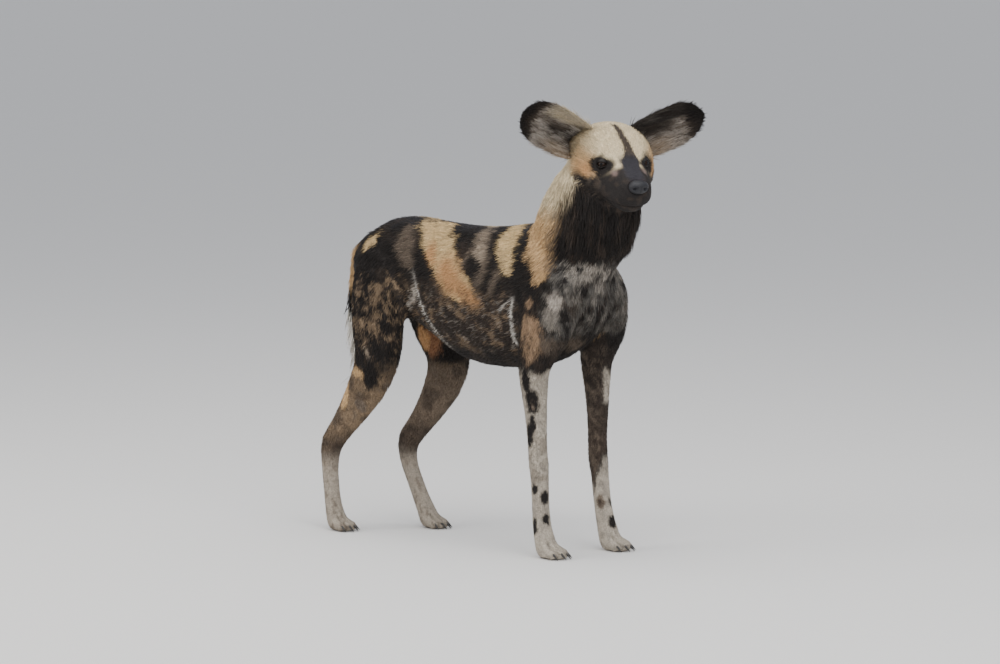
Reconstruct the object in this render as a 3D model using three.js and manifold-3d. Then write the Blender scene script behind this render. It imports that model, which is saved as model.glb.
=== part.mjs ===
// An African wild dog, life-size, standing still with its head turned to its right.
// Millimetres. +X is the way the body points, +Y its left side, +Z up, and the floor is z = 0.
import * as THREE from "three";
import { mergeVertices } from "three/addons/utils/BufferGeometryUtils.js";
import Module from "manifold-3d";

const wasm = await Module();
wasm.setup();

// Driving sizes of the animal.
const gap = 0.3;            // between two pieces that touch
const eyeRadius = 10.5;
const earLength = { left: 148, right: 155 };
const earHalfWidth = 48;
const earBaseHalf = 39;
const earThickness = 3.4;
const headAt = new THREE.Vector3(364, -26, 800);   // midpoint between the eyes, on the head's own axis
const headYaw = -27;        // degrees, turned to the animal's right
const headPitch = 19;       // degrees, nose down
const flesh = { color: 0x7a5a3c, roughness: 0.9, metalness: 0 };
const horn = { color: 0x1c1917, roughness: 0.45, metalness: 0 };

// Faces and solids.
function closedGeometry(points, faces) {
  const geometry = new THREE.BufferGeometry();
  geometry.setAttribute("position", new THREE.Float32BufferAttribute(points.flatMap((p) => [p.x, p.y, p.z]), 3));
  geometry.setIndex(faces.flat());
  return geometry;
}

function solidOf(geometry) {
  const bare = geometry.clone();
  bare.deleteAttribute("normal");
  bare.deleteAttribute("uv");
  const merged = mergeVertices(bare, 1e-4);
  const triVerts = new Uint32Array(merged.index.array);
  const build = () => new wasm.Manifold(new wasm.Mesh({
    numProp: 3,
    vertProperties: merged.attributes.position.array,
    triVerts,
  }));
  const made = build();
  if (made.volume() > 0) return made;
  for (let i = 0; i < triVerts.length; i += 3) {
    [triVerts[i + 1], triVerts[i + 2]] = [triVerts[i + 2], triVerts[i + 1]];
  }
  return build();
}

const largest = (solid) => solid.decompose().reduce((a, b) => (b.volume() > a.volume() ? b : a));
const join = (...solids) => solids.flat().reduce((a, b) => a.add(b));
const cut = (solid, ...tools) => tools.flat().reduce((a, b) => a.subtract(b), solid);

// A smooth run of values through a few stations: each station is a list of numbers.
function smooth(stations, count) {
  const last = stations.length - 1;
  return Array.from({ length: count }, (_, i) => {
    const place = (i / (count - 1)) * last;
    const j = Math.min(Math.floor(place), last - 1);
    const t = place - j;
    const four = [j - 1, j, j + 1, j + 2].map((n) => stations[Math.max(0, Math.min(last, n))]);
    return four[1].map((_, c) => {
      const [a, b, d, e] = four.map((s) => s[c]);
      return b + 0.5 * t * (d - a + t * (2 * a - 5 * b + 4 * d - e + t * (3 * (b - d) + e - a)));
    });
  });
}

// The point of a ring at a turn of t, where 0 is its side and a quarter turn is its rise.
function onRing(ring, t, grow = 0) {
  const c = Math.cos(t);
  const s = Math.sin(t);
  const across = Math.sign(c) * Math.abs(c) ** (2 / ring.square) * (ring.wide + grow);
  const rise = Math.sign(s) * Math.abs(s) ** (2 / ring.square) * ((s > 0 ? ring.up : ring.down) + grow);
  return ring.at.clone().addScaledVector(ring.side, across).addScaledVector(ring.rise, rise);
}

// A closed body through rings. Each ring has a centre, two directions in its plane, a half width to
// each side, a reach upwards and one downwards, and a squareness of 2 for an ellipse and more for a box.
function loft(rings, sides, grow = 0) {
  const points = rings.flatMap((ring) =>
    Array.from({ length: sides }, (_, i) => onRing(ring, (2 * Math.PI * (i + 0.5)) / sides, grow)));
  const faces = [];
  for (let r = 0; r + 1 < rings.length; r++) {
    for (let i = 0; i < sides; i++) {
      const a = r * sides + i;
      const b = r * sides + ((i + 1) % sides);
      faces.push([a, b, b + sides], [a, b + sides, a + sides]);
    }
  }
  [[0, 1], [rings.length - 1, rings.length - 2]].forEach(([end, next], which) => {
    const out = rings[end].at.clone().sub(rings[next].at).normalize();
    const reach = grow + 0.25 * Math.min(rings[end].wide, rings[end].up);
    points.push(rings[end].at.clone().addScaledVector(out, reach));
    for (let i = 0; i < sides; i++) {
      const a = end * sides + i;
      const b = end * sides + ((i + 1) % sides);
      faces.push(which ? [a, b, points.length - 1] : [b, a, points.length - 1]);
    }
  });
  return solidOf(closedGeometry(points, faces));
}

// Rings across the X axis, from [x, top, bottom, half width, height of the widest line, squareness].
function ringsAlongX(stations, count) {
  return smooth(stations, count).map(([x, top, bottom, wide, waist, square]) => ({
    at: new THREE.Vector3(x, 0, waist),
    side: new THREE.Vector3(0, 1, 0),
    rise: new THREE.Vector3(0, 0, 1),
    wide, up: top - waist, down: waist - bottom, square,
  }));
}

// Rings across a limb, from [x, y, z, half width, reach forward, reach back].
function ringsAlongLimb(stations, count, square = 2.1) {
  const rows = smooth(stations, count);
  const at = rows.map(([x, y, z]) => new THREE.Vector3(x, y, z));
  const forward = new THREE.Vector3(1, 0, 0);
  return rows.map(([, , , wide, front, back], i) => {
    const along = at[Math.min(i + 1, at.length - 1)].clone().sub(at[Math.max(i - 1, 0)]).normalize();
    const rise = forward.clone().addScaledVector(along, -forward.dot(along)).normalize();
    const side = new THREE.Vector3().crossVectors(along, rise);
    return { at: at[i], along, side, rise, wide, up: front, down: back, square };
  });
}

// A draw of numbers from 0 to 1 that is the same each time.
function drawFrom(seed) {
  let state = seed;
  return () => {
    state = (state + 0x6d2b79f5) | 0;
    let t = Math.imul(state ^ (state >>> 15), 1 | state);
    t = (t + Math.imul(t ^ (t >>> 7), 61 | t)) ^ t;
    return ((t ^ (t >>> 14)) >>> 0) / 4294967296;
  };
}

// A flat lock of hair from a root, along its lie and bending down, tapered to its tip.
function lockOf(root, lie, outward, size) {
  const { length, width, depth, droop } = size;
  const steps = [0, 0.4, 0.75];
  const across = new THREE.Vector3().crossVectors(lie, outward).normalize();
  const face = new THREE.Vector3().crossVectors(across, lie).normalize();
  const spine = (t) => root.clone().addScaledVector(lie, length * t).add(new THREE.Vector3(0, 0, -droop * t * t));
  const points = [];
  const faces = [];
  steps.forEach((t) => {
    const w = width * (t < 0.3 ? 1 : 1.15 - 0.75 * t) / 2;
    const d = depth * (1 - 0.6 * t) / 2;
    const at = spine(t);
    points.push(at.clone().addScaledVector(across, w), at.clone().addScaledVector(face, d));
    points.push(at.clone().addScaledVector(across, -w), at.clone().addScaledVector(face, -d));
  });
  for (let r = 0; r + 1 < steps.length; r++) {
    for (let i = 0; i < 4; i++) {
      const a = r * 4 + i;
      const b = r * 4 + ((i + 1) % 4);
      faces.push([a, b, b + 4], [a, b + 4, a + 4]);
    }
  }
  points.push(spine(1));
  const top = (steps.length - 1) * 4;
  for (let i = 0; i < 4; i++) {
    faces.push([top + i, top + ((i + 1) % 4), points.length - 1]);
  }
  faces.push([0, 3, 2], [0, 2, 1]);
  return solidOf(closedGeometry(points, faces));
}

// The torso, from the rump to the front of the chest.
const torsoStations = [
  [-345, 574, 535, 18, 555, 2.0],
  [-328, 598, 506, 44, 556, 2.0],
  [-292, 627, 476, 66, 560, 2.1],
  [-238, 654, 452, 76, 566, 2.2],
  [-175, 660, 440, 78, 560, 2.2],
  [-110, 654, 408, 84, 540, 2.2],
  [-45, 650, 374, 93, 520, 2.2],
  [30, 651, 362, 99, 515, 2.2],
  [105, 660, 364, 99, 520, 2.2],
  [165, 673, 374, 96, 530, 2.2],
  [215, 676, 394, 90, 540, 2.2],
  [262, 652, 426, 77, 545, 2.1],
  [298, 612, 474, 53, 545, 2.0],
  [312, 575, 510, 24, 545, 2.0],
];
const torsoRings = ringsAlongX(torsoStations, 22);

// The neck leans forward and a little to the right, and its throat carries the ruff.
const neckStations = [
  [186, 0, 540, 72, 90, 88],
  [222, 0, 600, 86, 114, 96],
  [250, -1, 662, 96, 128, 100],
  [276, -4, 718, 97, 126, 90],
  [300, -8, 766, 93, 115, 73],
  [318, -14, 796, 80, 94, 58],
];
const neckRings = ringsAlongLimb(neckStations, 10);

// Legs of the right side, from the blade or hip to the paw, and those of the left with their own stance.
const foreRight = [
  [190, -34, 632, 20, 44, 40],
  [218, -54, 585, 34, 60, 58],
  [236, -66, 525, 40, 64, 72],
  [222, -78, 455, 39, 60, 66],
  [198, -84, 395, 34, 43, 40],
  [195, -82, 340, 28, 31, 28],
  [198, -79, 280, 22, 25, 24],
  [200, -77, 225, 19.5, 22, 22],
  [203, -76, 186, 20.5, 22, 23],
  [206, -76, 150, 18.5, 20, 21],
  [209, -77, 100, 18, 19, 20],
  [215, -78, 56, 20, 20, 22],
  [226, -78, 20, 25, 22, 24],
];
const hindRight = [
  [-226, -26, 624, 20, 44, 30],
  [-246, -48, 575, 38, 74, 48],
  [-244, -64, 505, 45, 82, 58],
  [-232, -72, 435, 44, 66, 64],
  [-226, -76, 375, 39, 54, 62],
  [-250, -76, 322, 31, 50, 52],
  [-292, -75, 268, 24, 42, 36],
  [-334, -74, 218, 19.5, 34, 26],
  [-360, -74, 180, 20, 28, 27],
  [-365, -74, 140, 18, 20, 21],
  [-361, -75, 95, 17.5, 18, 19],
  [-354, -76, 52, 19, 18, 20],
  [-344, -76, 20, 24, 20, 22],
];
const turned = (stations, wider, ahead) =>
  stations.map((s, i) => [s[0] + ahead[i], -s[1] + wider[i], ...s.slice(2)]);
const foreLeft = turned(foreRight,
  [0, 0, 2, 4, 6, 8, 8, 8, 8, 8, 8, 8, 8],
  [0, 4, 8, 12, 16, 20, 22, 22, 22, 24, 26, 29, 30]);
const hindLeft = turned(hindRight,
  [0, 0, 0, 0, 0, 0, 0, 0, 0, 0, 0, 0, 0],
  [0, 4, 16, 34, 58, 74, 82, 84, 82, 86, 100, 114, 122]);
const legStations = { fore_right: foreRight, fore_left: foreLeft, hind_right: hindRight, hind_left: hindLeft };

// A paw: a ball under the last joint, four toes with their claws, cut flat at the floor.
function pawOf(name) {
  const size = name.startsWith("fore") ? 1 : 0.94;
  const [x, y] = legStations[name].at(-1);
  const ball = new THREE.SphereGeometry(1, 9, 6);
  const pieces = [solidOf(ball.scale(28 * size, 25 * size, 22 * size).translate(x + 4, y, 16))];
  for (const t of [-1.5, -0.5, 0.5, 1.5]) {
    const ahead = (Math.abs(t) < 1 ? 32 : 22) * size;
    const toe = new THREE.SphereGeometry(1, 6, 5);
    toe.scale(21 * size, 9 * size, 13.5 * size).rotateY(0.3).rotateZ(t * 0.09);
    pieces.push(solidOf(toe.translate(x + ahead, y + t * 13 * size, 12 * size)));
    const claw = new THREE.ConeGeometry(3.4 * size, 17 * size, 5);
    claw.rotateZ(-Math.PI / 2).rotateY(0.42).rotateZ(t * 0.1);
    pieces.push(solidOf(claw.translate(x + ahead + 18 * size, y + t * 14.2 * size, 9 * size)));
  }
  return join(pieces);
}

// The head is made about the midpoint of its eyes: x forward, y left, z up, and then set in place.
const skullStations = [
  [-112, 12, -42, 38, -12, 2.0],
  [-96, 38, -64, 62, -14, 2.1],
  [-68, 54, -84, 77, -22, 2.2],
  [-38, 58, -90, 87, -34, 2.2],
  [-10, 53, -88, 88, -40, 2.2],
  [14, 38, -82, 76, -40, 2.1],
  [34, 22, -76, 59, -38, 2.3],
  [54, 10, -70, 48, -38, 2.8],
  [76, 4, -65, 42, -38, 3.0],
  [94, 0, -61, 38, -36, 2.9],
  [106, -6, -57, 31, -34, 2.5],
  [114, -14, -48, 18, -31, 2.0],
];
const jawStations = [
  [-66, -34, -78, 54, -58, 2.0],
  [-34, -40, -92, 60, -66, 2.1],
  [0, -44, -91, 52, -68, 2.1],
  [36, -46, -86, 38, -66, 2.2],
  [72, -46, -80, 29, -64, 2.3],
  [92, -46, -76, 24, -62, 2.2],
  [101, -50, -70, 14, -60, 2.0],
];
const skullRings = ringsAlongX(skullStations, 21);
const jawRings = ringsAlongX(jawStations, 9);
const headTurn = new THREE.Euler(0, (headPitch * Math.PI) / 180, (headYaw * Math.PI) / 180, "ZYX");
const headMatrix = new THREE.Matrix4().compose(
  headAt, new THREE.Quaternion().setFromEuler(headTurn), new THREE.Vector3(1, 1, 1));
const placed = (solid) => solid.transform(headMatrix.elements);

const sides = { left: 1, right: -1 };
const eyeAt = (s) => new THREE.Vector3(22, 43 * s, 1);
const eyeFacing = (s) => new THREE.Vector3(0.74, 0.62 * s, 0.2).normalize();

const eyeball = (s, grow = 0) => {
  const at = eyeAt(s);
  return solidOf(new THREE.SphereGeometry(eyeRadius + grow, 14, 10).translate(at.x, at.y, at.z));
};

// The shallow socket of an eye, and the rim of its lids, an oval ring that is wider than high.
function atEye(s, geometry, ahead) {
  const turn = new THREE.Quaternion().setFromUnitVectors(new THREE.Vector3(0, 0, 1), eyeFacing(s));
  const at = eyeAt(s).addScaledVector(eyeFacing(s), ahead);
  return solidOf(geometry.applyMatrix4(new THREE.Matrix4().compose(at, turn, new THREE.Vector3(1, 1, 1))));
}
const socketOf = (s) => atEye(s, new THREE.SphereGeometry(1, 14, 10).scale(12, 18, 13), 11);
const lidsOf = (s) => atEye(s, new THREE.TorusGeometry(11, 4.2, 6, 16).scale(0.8, 1.14, 1.5), 3);

// The brow over an eye, and the two slits of the closed mouth, which reach back to its corner.
function browOf(s) {
  const brow = new THREE.SphereGeometry(1, 10, 7).scale(20, 16, 8).rotateY(0.4).rotateZ(-0.35 * s);
  return solidOf(brow.translate(8, 38 * s, 13));
}
const mouthStations = [
  [26, -62.8, -64.2, 62, -63.5, 2.0],
  [60, -60.2, -61.6, 52, -60.9, 2.0],
  [118, -55.8, -57.2, 46, -56.5, 2.0],
];

// An ear: a cupped leaf that opens forward, rooted on the side of the skull.
const earRise = { left: 0.41, right: 0.48 };     // radians above level
function earOf(s, rows = 9, columns = 9) {
  const root = new THREE.Vector3(-46, 58 * s, 13);
  const rise = s > 0 ? earRise.left : earRise.right;
  const length = s > 0 ? earLength.left : earLength.right;
  const along = new THREE.Vector3(-0.08, Math.cos(rise) * s, Math.sin(rise)).normalize();
  const across = new THREE.Vector3(0, -Math.sin(rise) * s, Math.cos(rise));
  const back = new THREE.Vector3(-1, 0, 0);
  const sheet = (offset) => {
    const points = [];
    for (let r = 0; r <= rows; r++) {
      const u = -0.14 + 1.14 * Math.sin((Math.PI / 2) * (r / rows));
      const past = Math.max(0, (u - 0.48) / 0.52);
      const round = Math.sqrt(Math.max(0, 1 - past ** 2.5));
      const base = THREE.MathUtils.smoothstep(u, -0.1, 0.5);
      const half = Math.max(0.6, (earBaseHalf + (earHalfWidth - earBaseHalf) * base) * round);
      const open = THREE.MathUtils.lerp(1.45, 0.62, THREE.MathUtils.smoothstep(u, 0, 0.95));
      const radius = half / Math.sin(open);
      for (let c = 0; c <= columns; c++) {
        const a = open * (2 * (c / columns) - 1);
        const thin = offset * earThickness * (1 - 0.45 * Math.abs(a / open)) / 2;
        const at = root.clone().addScaledVector(along, length * u);
        at.addScaledVector(across, (radius + thin) * Math.sin(a));
        at.addScaledVector(back, (radius + thin) * Math.cos(a) - radius * Math.cos(open) * 0.9 - 12 * u);
        points.push(at);
      }
    }
    return points;
  };
  const points = [...sheet(1), ...sheet(-1)];
  const n = columns + 1;
  const half = (rows + 1) * n;
  const faces = [];
  const quad = (a, b, c, d) => faces.push([a, b, c], [a, c, d]);
  for (let r = 0; r < rows; r++) {
    for (let c = 0; c < columns; c++) {
      const a = r * n + c;
      faces.push([a, a + 1, a + n + 1], [a, a + n + 1, a + n]);
      faces.push([half + a, half + a + n + 1, half + a + 1], [half + a, half + a + n, half + a + n + 1]);
    }
    quad(r * n, (r + 1) * n, half + (r + 1) * n, half + r * n);
    quad(half + r * n + columns, half + (r + 1) * n + columns, (r + 1) * n + columns, r * n + columns);
  }
  for (let c = 0; c < columns; c++) {
    quad(c + 1, c, half + c, half + c + 1);
    quad(rows * n + c, rows * n + c + 1, half + rows * n + c + 1, half + rows * n + c);
  }
  return solidOf(closedGeometry(points, faces));
}

// The bare nose with its two nostrils.
function noseOf(grow = 0) {
  const pad = new THREE.SphereGeometry(1, 12, 8);
  return solidOf(pad.scale(13 + grow, 18.5 + grow, 13.5 + grow).translate(108, 0, -13));
}
const nostrils = Object.values(sides).map((s) => {
  const hole = new THREE.SphereGeometry(1, 8, 6).scale(8, 3.4, 4.6).rotateZ(0.5 * s);
  return solidOf(hole.translate(120, 9.5 * s, -14));
});

// The tail hangs down behind the thighs: a base with short hair and a brush of long locks.
const tailStations = [
  [-304, 0, 604, 22, 18, 24],
  [-336, 0, 570, 24, 20, 28],
  [-350, 2, 522, 24, 20, 25],
  [-352, 4, 470, 24, 20, 23],
  [-350, 6, 420, 23, 20, 22],
  [-348, 8, 370, 20, 18, 19],
  [-345, 10, 322, 10, 9, 9],
];
const tailRings = ringsAlongLimb(tailStations, 13, 2.0);
const brushFrom = 4;        // ring where the long hair starts

const solids = new Map();
const legRings = Object.fromEntries(
  Object.entries(legStations).map(([name, stations]) => [name, ringsAlongLimb(stations, 24)]));
const legGrown = Object.values(legRings).map((rings) => loft(rings, 11, gap));
const neckGrown = loft(neckRings, 20, gap);
const torsoGrown = loft(torsoRings, 20, gap);

// Head: skull and jaw, lids, less the eyes, the nose and the neck's own space.
const eyesGrown = Object.values(sides).map((s) => eyeball(s, gap));
const faceFolds = Object.values(sides).flatMap((s) => [lidsOf(s), browOf(s)]);
const sockets = Object.values(sides).map(socketOf);
const skin = join(cut(join(loft(skullRings, 22), loft(jawRings, 16)), sockets), faceFolds);
const insideMouth = join(loft(skullRings, 12, -5), loft(jawRings, 10, -5));
const headWhole = cut(skin, cut(loft(ringsAlongX(mouthStations, 4), 12), insideMouth));
const head = largest(cut(headWhole, eyesGrown, noseOf(gap)));
const headGrown = join(loft(skullRings, 22, gap), loft(jawRings, 16, gap));
solids.set("head", placed(head));
solids.set("nose", placed(largest(cut(noseOf(), nostrils))));
for (const [side, s] of Object.entries(sides)) {
  solids.set(`eye_${side}`, placed(eyeball(s)));
  solids.set(`ear_${side}`, largest(cut(placed(cut(earOf(s), headGrown)), neckGrown)));
}

// Neck, with a ruff of locks on the throat and cheeks that hangs over the chest.
const draw = drawFrom(7);
const ruff = [];
for (const row of [2, 4, 6, 8]) {
  const ring = neckRings[row];
  const count = 7;
  for (let i = 0; i < count; i++) {
    const t = Math.PI * (0.5 + 0.94 * ((i + 0.25 * (row % 4)) / (count - 0.5) - 0.5)) + (draw() - 0.5) * 0.1;
    const surface = onRing(ring, t, -6);
    const outward = surface.clone().sub(ring.at).normalize();
    const lie = ring.along.clone().negate().addScaledVector(outward, 0.26).normalize();
    const front = Math.max(0, Math.sin(t));
    const length = (56 + 18 * front) * (0.85 + 0.3 * draw());
    ruff.push(lockOf(surface, lie, outward, { length, width: 48, depth: 11, droop: 6 * front }));
  }
}
const placedHeadGrown = placed(headGrown);
const neckFlesh = loft(neckRings, 20);
const ruffClear = cut(join(ruff), torsoGrown, legGrown, placedHeadGrown);
solids.set("neck", largest(cut(join(neckFlesh, ruffClear), legGrown, placedHeadGrown)));

// Tail, in a base and a brush.
const tailFlesh = loft(tailRings, 10);
const brushPlane = tailRings[brushFrom];
const level = brushPlane.at.dot(brushPlane.along);
const axis = brushPlane.along.toArray();
const tufts = [];
for (let row = brushFrom; row < 12; row += 2) {
  const ring = tailRings[row];
  for (let i = 0; i < 5; i++) {
    const t = (2 * Math.PI * (i + 0.25 * (row % 4) + 0.2 * draw())) / 5;
    const surface = onRing(ring, t, -6);
    const outward = surface.clone().sub(ring.at).normalize();
    const lie = ring.along.clone().addScaledVector(outward, 0.2).normalize();
    tufts.push(lockOf(surface, lie, outward, { length: 78 + 14 * draw(), width: 32, depth: 11, droop: 0 }));
  }
}
const tailFrom = cut(tailFlesh, torsoGrown);
const others = [torsoGrown, ...legGrown];
solids.set("tail_base", largest(cut(tailFrom.trimByPlane(axis.map((v) => -v), -level + gap / 2), legGrown)));
const brushFlesh = tailFlesh.trimByPlane(axis, level + gap / 2);
solids.set("tail_brush", largest(cut(join(brushFlesh, join(tufts).trimByPlane(axis, level + gap / 2)), others)));

// Torso, with room for the neck and the legs that sink into it.
solids.set("torso", largest(cut(loft(torsoRings, 20), legGrown, neckGrown)));

// Legs, each parted at the elbow or knee and at the wrist or hock.
const parting = { fore: [["upper", 9.5], ["lower", 17]], hind: [["upper", 10.5], ["lower", 16.5]] };
for (const [name, rings] of Object.entries(legRings)) {
  let rest = join(loft(rings, 11), pawOf(name)).trimByPlane([0, 0, 1], 0);
  for (const [part, at] of parting[name.slice(0, 4)]) {
    const ring = rings[Math.floor(at)];
    const down = ring.along.toArray();
    const height = ring.at.dot(ring.along);
    solids.set(`${name}_${part}`, largest(rest.trimByPlane(down.map((v) => -v), -height + gap / 2)));
    rest = rest.trimByPlane(down, height + gap / 2);
  }
  solids.set(`${name}_foot`, largest(rest));
}

const group = new THREE.Group();
for (const [name, solid] of solids) {
  const made = solid.getMesh();
  const places = new Float32Array(made.numVert * 3);
  for (let i = 0; i < made.numVert; i++) {
    places.set(made.vertProperties.subarray(i * made.numProp, i * made.numProp + 3), i * 3);
  }
  const geometry = new THREE.BufferGeometry();
  geometry.setAttribute("position", new THREE.BufferAttribute(places, 3));
  geometry.setIndex(new THREE.BufferAttribute(made.triVerts, 1));
  const mesh = new THREE.Mesh(geometry, new THREE.MeshStandardMaterial(/eye|nose/.test(name) ? horn : flesh));
  mesh.name = name;
  group.add(mesh);
}

// The origin is under the middle of the animal, on the floor.
const reach = new THREE.Box3().setFromObject(group);
group.position.set(-(reach.min.x + reach.max.x) / 2, -(reach.min.y + reach.max.y) / 2, 0);
export default group;
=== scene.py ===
import math
import bpy
import bmesh
import numpy as np
from mathutils import Matrix, Vector
from mathutils.kdtree import KDTree


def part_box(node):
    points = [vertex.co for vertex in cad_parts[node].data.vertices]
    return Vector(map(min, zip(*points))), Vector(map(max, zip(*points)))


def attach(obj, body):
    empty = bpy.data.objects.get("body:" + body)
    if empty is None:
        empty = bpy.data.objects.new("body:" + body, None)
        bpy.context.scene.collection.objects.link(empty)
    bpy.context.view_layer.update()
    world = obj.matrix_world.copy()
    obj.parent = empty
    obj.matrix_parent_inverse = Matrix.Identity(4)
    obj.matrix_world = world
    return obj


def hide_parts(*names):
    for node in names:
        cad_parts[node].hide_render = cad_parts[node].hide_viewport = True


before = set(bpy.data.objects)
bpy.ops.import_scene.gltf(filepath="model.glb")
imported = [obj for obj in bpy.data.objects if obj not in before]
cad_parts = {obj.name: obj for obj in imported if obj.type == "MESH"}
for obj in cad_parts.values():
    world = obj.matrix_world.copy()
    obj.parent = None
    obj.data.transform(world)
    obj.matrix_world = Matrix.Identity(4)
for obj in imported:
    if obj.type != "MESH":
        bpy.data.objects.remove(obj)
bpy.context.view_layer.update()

torsoLow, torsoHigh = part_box("torso")
chestTip = 0.318        # how far ahead of the animal's own zero the chest reaches
animalOrigin = Vector((torsoHigh.x - chestTip, (torsoLow.y + torsoHigh.y) / 2, 0))
sides = {"left": 1, "right": -1}
legNames = ["fore_right", "fore_left", "hind_right", "hind_left"]


def at(x, y, z):
    return animalOrigin + Vector((x, y, z)) / 1000


def middle(node):
    low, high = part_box(node)
    return (low + high) / 2


# The head's own millimetres: x to the nose, y to its left, z up, from the point between the eyes.
headPose = {"place": (364, -26, 800), "yaw": -27, "pitch": 19}
headMatrix = (Matrix.Translation(at(*headPose["place"]))
              @ Matrix.Rotation(math.radians(headPose["yaw"]), 4, "Z")
              @ Matrix.Rotation(math.radians(headPose["pitch"]), 4, "Y"))
headInverse = np.array(headMatrix.inverted())


def onHead(x, y, z):
    return headMatrix @ (Vector((x, y, z)) / 1000)


def toAnimal(points):
    return (points - np.array(animalOrigin)) * 1000


def toHead(points):
    return (points @ headInverse[:3, :3].T + headInverse[:3, 3]) * 1000


# Number tools: soft steps, noise on a lattice, and averages along a mesh's edges.
def soft(value, low, high):
    t = np.clip((value - low) / (high - low), 0, 1)
    return t * t * (3 - 2 * t)


def below(value, low, high):
    return 1 - soft(value, low, high)


def hump(value, middle, width):
    return np.exp(-((value - middle) / width) ** 2)


def oval(points, centre, half):
    # 0 at the middle of an egg-shaped place and 1 at its edge
    return np.sqrt(np.sum(((points - np.array(centre)) / half) ** 2, axis=1))


def noiseAt(points, size, seed):
    cell = points / size + seed * 17.31
    base = np.floor(cell)
    part = cell - base
    part = part * part * (3 - 2 * part)
    total = np.zeros(len(points))
    for corner in range(8):
        step = np.array([corner & 1, corner >> 1 & 1, corner >> 2 & 1])
        spot = base + step
        value = np.sin(spot @ np.array([127.1, 311.7, 74.7]) + seed * 13.7) * 43758.5453
        weight = np.prod(np.where(step, part, 1 - part), axis=1)
        total += weight * (value - np.floor(value))
    return total * 2 - 1


def srgb(*levels):
    return np.array([(c / 12.92 if c <= 0.04045 else ((c + 0.055) / 1.055) ** 2.4) for c in levels])


def meshArrays(mesh):
    places = np.empty(len(mesh.vertices) * 3)
    mesh.vertices.foreach_get("co", places)
    normals = np.empty(len(mesh.vertices) * 3)
    mesh.vertices.foreach_get("normal", normals)
    mesh.calc_loop_triangles()
    triangles = np.empty(len(mesh.loop_triangles) * 3, dtype=np.int64)
    mesh.loop_triangles.foreach_get("vertices", triangles)
    edges = np.empty(len(mesh.edges) * 2, dtype=np.int64)
    mesh.edges.foreach_get("vertices", edges)
    return places.reshape(-1, 3), normals.reshape(-1, 3), triangles.reshape(-1, 3), edges.reshape(-1, 2)


def averaged(values, edges, times):
    count = np.bincount(edges.ravel(), minlength=len(values)).astype(float)
    shape = (-1,) + (1,) * (values.ndim - 1)
    for _ in range(times):
        total = values.copy()
        np.add.at(total, edges[:, 0], values[edges[:, 1]])
        np.add.at(total, edges[:, 1], values[edges[:, 0]])
        values = total / (count + 1).reshape(shape)
    return values


def unit(vectors):
    return vectors / np.maximum(np.linalg.norm(vectors, axis=1, keepdims=True), 1e-9)


def alongSurface(ways, normals):
    return unit(ways - normals * np.sum(ways * normals, axis=1, keepdims=True))


def painted(mesh, colours):
    layer = mesh.attributes.new("markings", "FLOAT_COLOR", "POINT")
    layer.data.foreach_set("color", np.column_stack([colours, np.ones(len(colours))]).ravel())


def addObject(name, mesh, replaced=()):
    piece = bpy.data.objects.new(name, mesh)
    bpy.context.scene.collection.objects.link(piece)
    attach(piece, "root")
    if replaced:
        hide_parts(*replaced)


def meshFrom(bm, name):
    mesh = bpy.data.meshes.new(name)
    bm.to_mesh(mesh)
    bm.free()
    mesh.polygons.foreach_set("use_smooth", [True] * len(mesh.polygons))
    return mesh


def applied(mesh, name, modifiers):
    # runs modifiers on a mesh and gives back the finished mesh
    holder = bpy.data.objects.new(name, mesh)
    bpy.context.scene.collection.objects.link(holder)
    for kind, values in modifiers:
        modifier = holder.modifiers.new(kind.lower(), kind)
        for key, value in values.items():
            setattr(modifier, key, value)
    shape = holder.evaluated_get(bpy.context.evaluated_depsgraph_get())
    result = bpy.data.meshes.new_from_object(shape)
    result.name = name
    bpy.data.objects.remove(holder)
    return result


# Colours of the coat: red, green and blue as a screen shows them.
shades = {
    "black": (0.125, 0.108, 0.10),
    # a bluish black: painted sheen of sky light on black hair
    "skySheenBlack": (0.20, 0.195, 0.205),
    "brown": (0.25, 0.21, 0.18),
    "fleck": (0.52, 0.44, 0.35),
    "tan": (0.80, 0.66, 0.48),
    "orange": (0.80, 0.615, 0.425),
    "rust": (0.60, 0.43, 0.31),
    "cream": (0.87, 0.80, 0.66),
    "sand": (0.86, 0.745, 0.55),
    "pale": (0.76, 0.72, 0.67),
    "white": (0.86, 0.84, 0.80),
    "grey": (0.54, 0.51, 0.47),
    "mottle": (0.42, 0.37, 0.32),
    "muzzle": (0.145, 0.13, 0.125),
    # black muzzle hair lightened to bluish grey: painted sheen of sky light on the top of the muzzle
    "muzzleTopSheen": (0.195, 0.19, 0.21),
    "stripe": (0.215, 0.175, 0.165),
    "clay": (0.63, 0.52, 0.41),
    "smoke": (0.37, 0.355, 0.335),
    "pink": (0.56, 0.48, 0.45),
    "ash": (0.60, 0.54, 0.47),
    "stocking": (0.70, 0.66, 0.60),
}
shades = {name: srgb(*levels) for name, levels in shades.items()}

# Bands that run down the near flank and shoulder: shade, heights, middles along x, half widths.
nearBands = [
    ("mottle", [560, 600, 640], [-146, -160, -172], [14, 22, 14]),
    ("sand", [496, 506, 526, 545, 568, 602, 627, 648, 668], [10, 5, 0, -15, -38, -68, -80, -116, -128],
     [4, 26, 50, 50, 47, 44, 44, 34, 30]),
    ("ash", [574, 600, 635, 650], [62, 55, 36, 30], [6, 17, 16, 8]),
    ("sand", [562, 574, 586, 605, 625, 655, 668], [128, 132, 133, 122, 111, 108, 106],
     [4, 12, 17, 24, 27, 18, 12]),
    ("tan", [552, 560, 594, 633, 652, 690], [222, 220, 209, 202, 206, 214], [6, 16, 30, 42, 50, 50]),
    ("clay", [394, 404, 440, 468, 484], [210, 212, 215, 210, 200], [6, 16, 27, 31, 16]),
    ("clay", [498, 506, 518], [193, 198, 192], [5, 16, 6]),
]
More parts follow.
